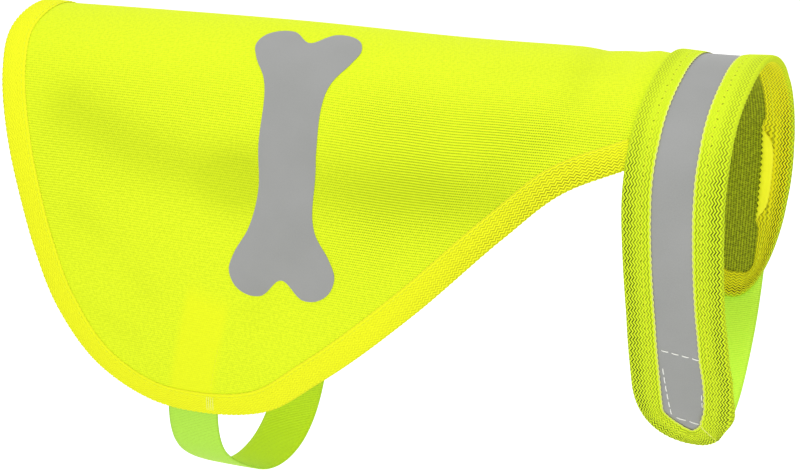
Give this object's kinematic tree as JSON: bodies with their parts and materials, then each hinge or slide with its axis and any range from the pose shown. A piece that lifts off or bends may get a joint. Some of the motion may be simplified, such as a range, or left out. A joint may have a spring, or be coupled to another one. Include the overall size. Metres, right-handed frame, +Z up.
{
  "type": "pet reflective vest",
  "caption": "Fluorescent knit dog vest worn over the back, with a bound hem, a collar with a reflective band, webbing straps under throat and belly, and a reflective bone on its side",
  "frame": {"origin": "on the inner face of the back panel at the spine, where the vest lies on the wearer's back", "axes": "+X to the wearer's head, +Y to the wearer's left (the side with no bone), +Z up"},
  "size_m": [0.4036, 0.149, 0.2499],
  "materials": {
    "knit": "fluorescent yellow-green warp knit",
    "binding": "fluorescent yellow knitted binding, zigzag ribs",
    "film": "silver-grey reflective tape, satin",
    "webbing": "fluorescent green woven webbing"
  },
  "bodies": {
    "root": {"back_panel": "knit", "hem_binding": "binding", "bone_patch": "film", "collar_band": "knit", "collar_tape": "film", "collar_binding": "binding", "belly_strap": "webbing", "neck_strap": "webbing"}
  },
  "joints": []
}
